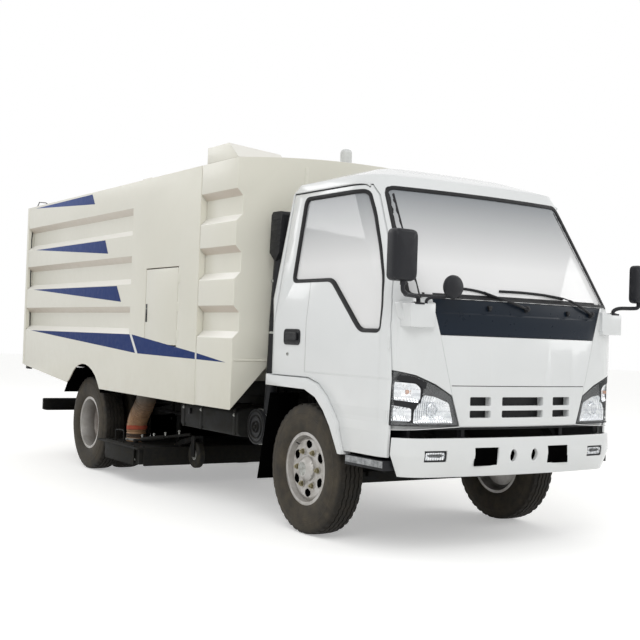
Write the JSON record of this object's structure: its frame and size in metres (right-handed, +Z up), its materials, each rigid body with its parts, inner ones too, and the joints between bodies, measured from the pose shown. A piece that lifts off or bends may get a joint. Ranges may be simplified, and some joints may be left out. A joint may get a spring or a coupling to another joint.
{
  "type": "street sweeper truck",
  "caption": "Light cab-over street sweeper truck: ribbed vacuum body that tips, rear door, side hatches, tilting two-door cab, and a suction nozzle that lowers on rollers between the axles",
  "frame": {"origin": "centre of the bounding box in plan, at ground level", "axes": "+X is the truck's left, the front faces -Y, +Z is up"},
  "size_m": [2, 5.864, 2.504],
  "materials": {
    "cab_paint": "gloss",
    "box_paint": "satin",
    "frame_black": "satin",
    "cast_iron": "matte",
    "rim_silver": "satin",
    "tyre_rubber": "matte",
    "band_dark": "gloss",
    "trim_black": "matte",
    "lamp_lens": "gloss",
    "window_glass": "gloss",
    "seat_fabric": "matte",
    "hose_fabric": "matte",
    "beacon_amber": "gloss",
    "ram_steel": "satin",
    "roller_rubber": "matte"
  },
  "bodies": {
    "chassis": {"chassis_frame": "frame_black", "front_axle": "frame_black", "rear_axle": "frame_black", "leaf_springs": "frame_black", "engine": "cast_iron", "bumper": "cab_paint", "road_lamps": "lamp_lens", "fuel_tank": "frame_black", "battery_box": "frame_black", "air_intake": "trim_black", "mudguards": "trim_black", "underrun_bar": "frame_black", "front_compartment": "box_paint", "outlet_hood": "box_paint", "beacon": "beacon_amber", "fan_engine": "cast_iron"},
    "cab": {"cab_shell": "cab_paint", "cab_floor": "trim_black", "front_panel": "cab_paint", "grille_mesh": "trim_black", "cowl_band": "band_dark", "cab_glass": "window_glass", "headlamps": "lamp_lens", "mirrors": "trim_black", "seats": "seat_fabric", "dashboard": "trim_black"},
    "steering_wheel_body": {"steering_wheel": "trim_black"},
    "left_door": {"door_left": "cab_paint", "door_glass_left": "window_glass"},
    "right_door": {"door_right": "cab_paint", "door_glass_right": "window_glass"},
    "left_knuckle": {"knuckle_left": "frame_black"},
    "right_knuckle": {"knuckle_right": "frame_black"},
    "front_wheel_left": {"front_tyre_left": "tyre_rubber", "front_rim_left": "rim_silver"},
    "front_wheel_right": {"front_tyre_right": "tyre_rubber", "front_rim_right": "rim_silver"},
    "rear_wheels_left": {"rear_tyres_left": "tyre_rubber", "rear_rims_left": "rim_silver"},
    "rear_wheels_right": {"rear_tyres_right": "tyre_rubber", "rear_rims_right": "rim_silver"},
    "hopper": {"hopper_shell": "box_paint", "hopper_subframe": "frame_black"},
    "rear_door_body": {"rear_door": "box_paint"},
    "left_hatch": {"access_door_left": "box_paint"},
    "right_hatch": {"access_door_right": "box_paint"},
    "nozzle_body": {"nozzle": "frame_black", "suction_hose": "hose_fabric"},
    "roller_left": {"gauge_wheel_left": "roller_rubber"},
    "roller_right": {"gauge_wheel_right": "roller_rubber"},
    "ram_barrel": {"hoist_barrel": "frame_black"},
    "ram_rod": {"hoist_rod": "ram_steel"}
  },
  "joints": [
    {"name": "cab_tilt", "type": "hinge", "parent": "chassis", "child": "cab", "pos_m": [0, -2.783, 0.61], "axis": [1, 0, 0], "range_deg": [0, 45]},
    {"name": "steer_left", "type": "hinge", "parent": "chassis", "child": "left_knuckle", "pos_m": [0.65, -1.883, 0.388], "axis": [0, 0, 1], "range_deg": [-35, 35]},
    {"name": "steer_right", "type": "hinge", "parent": "chassis", "child": "right_knuckle", "pos_m": [-0.65, -1.883, 0.388], "axis": [0, 0, 1], "range_deg": [-35, 35]},
    {"name": "steering_column", "type": "hinge", "parent": "cab", "child": "steering_wheel_body", "pos_m": [0.45, -2.403, 1.33], "axis": [0, 0.5, 0.866], "range_deg": [-540, 540]},
    {"name": "left_door_hinge", "type": "hinge", "parent": "cab", "child": "left_door", "pos_m": [0.846, -2.689, 1.1], "axis": [0, 0, -1], "range_deg": [0, 70]},
    {"name": "right_door_hinge", "type": "hinge", "parent": "cab", "child": "right_door", "pos_m": [-0.846, -2.689, 1.1], "axis": [0, 0, 1], "range_deg": [0, 70]},
    {"name": "front_wheel_spin_left", "type": "hinge", "parent": "left_knuckle", "child": "front_wheel_left", "pos_m": [0.752, -1.883, 0.388], "axis": [1, 0, 0], "continuous": true},
    {"name": "front_wheel_spin_right", "type": "hinge", "parent": "right_knuckle", "child": "front_wheel_right", "pos_m": [-0.752, -1.883, 0.388], "axis": [1, 0, 0], "continuous": true},
    {"name": "rear_wheel_spin_left", "type": "hinge", "parent": "chassis", "child": "rear_wheels_left", "pos_m": [0.694, 1.425, 0.388], "axis": [1, 0, 0], "continuous": true},
    {"name": "rear_wheel_spin_right", "type": "hinge", "parent": "chassis", "child": "rear_wheels_right", "pos_m": [-0.694, 1.425, 0.388], "axis": [1, 0, 0], "continuous": true},
    {"name": "hopper_tip", "type": "hinge", "parent": "chassis", "child": "hopper", "pos_m": [0, 2.537, 0.68], "axis": [-1, 0, 0], "range_deg": [0, 45]},
    {"name": "rear_door_lift", "type": "hinge", "parent": "hopper", "child": "rear_door_body", "pos_m": [0, 2.869, 2.38], "axis": [1, 0, 0], "range_deg": [0, 80]},
    {"name": "left_hatch_hinge", "type": "hinge", "parent": "hopper", "child": "left_hatch", "pos_m": [1, -0.421, 1.35], "axis": [0, 0, -1], "range_deg": [0, 110]},
    {"name": "right_hatch_hinge", "type": "hinge", "parent": "hopper", "child": "right_hatch", "pos_m": [-1, -0.421, 1.35], "axis": [0, 0, 1], "range_deg": [0, 110]},
    {"name": "nozzle_lift", "type": "slide", "parent": "chassis", "child": "nozzle_body", "axis": [0, 0, -1], "range_m": [0, 0.145], "deforming": ["suction_hose"]},
    {"name": "roller_spin_left", "type": "hinge", "parent": "nozzle_body", "child": "roller_left", "pos_m": [0.55, 0.087, 0.25], "axis": [1, 0, 0], "continuous": true},
    {"name": "roller_spin_right", "type": "hinge", "parent": "nozzle_body", "child": "roller_right", "pos_m": [-0.55, 0.087, 0.25], "axis": [1, 0, 0], "continuous": true},
    {"name": "ram_swing", "type": "hinge", "parent": "chassis", "child": "ram_barrel", "pos_m": [0, 0.817, 0.6], "axis": [1, 0, 0], "range_deg": [0, 23]},
    {"name": "ram_extend", "type": "slide", "parent": "ram_barrel", "child": "ram_rod", "axis": [0, 0.9756, 0.2195], "range_m": [0, 0.62]}
  ],
  "couplings": [
    {"joint": "steer_right", "follows": "steer_left", "ratio": 1},
    {"joint": "steering_column", "follows": "steer_left", "ratio": 15.4},
    {"joint": "ram_swing", "follows": "hopper_tip", "ratio": 0.497},
    {"joint": "ram_extend", "follows": "hopper_tip", "m_per_rad": 0.7296}
  ]
}
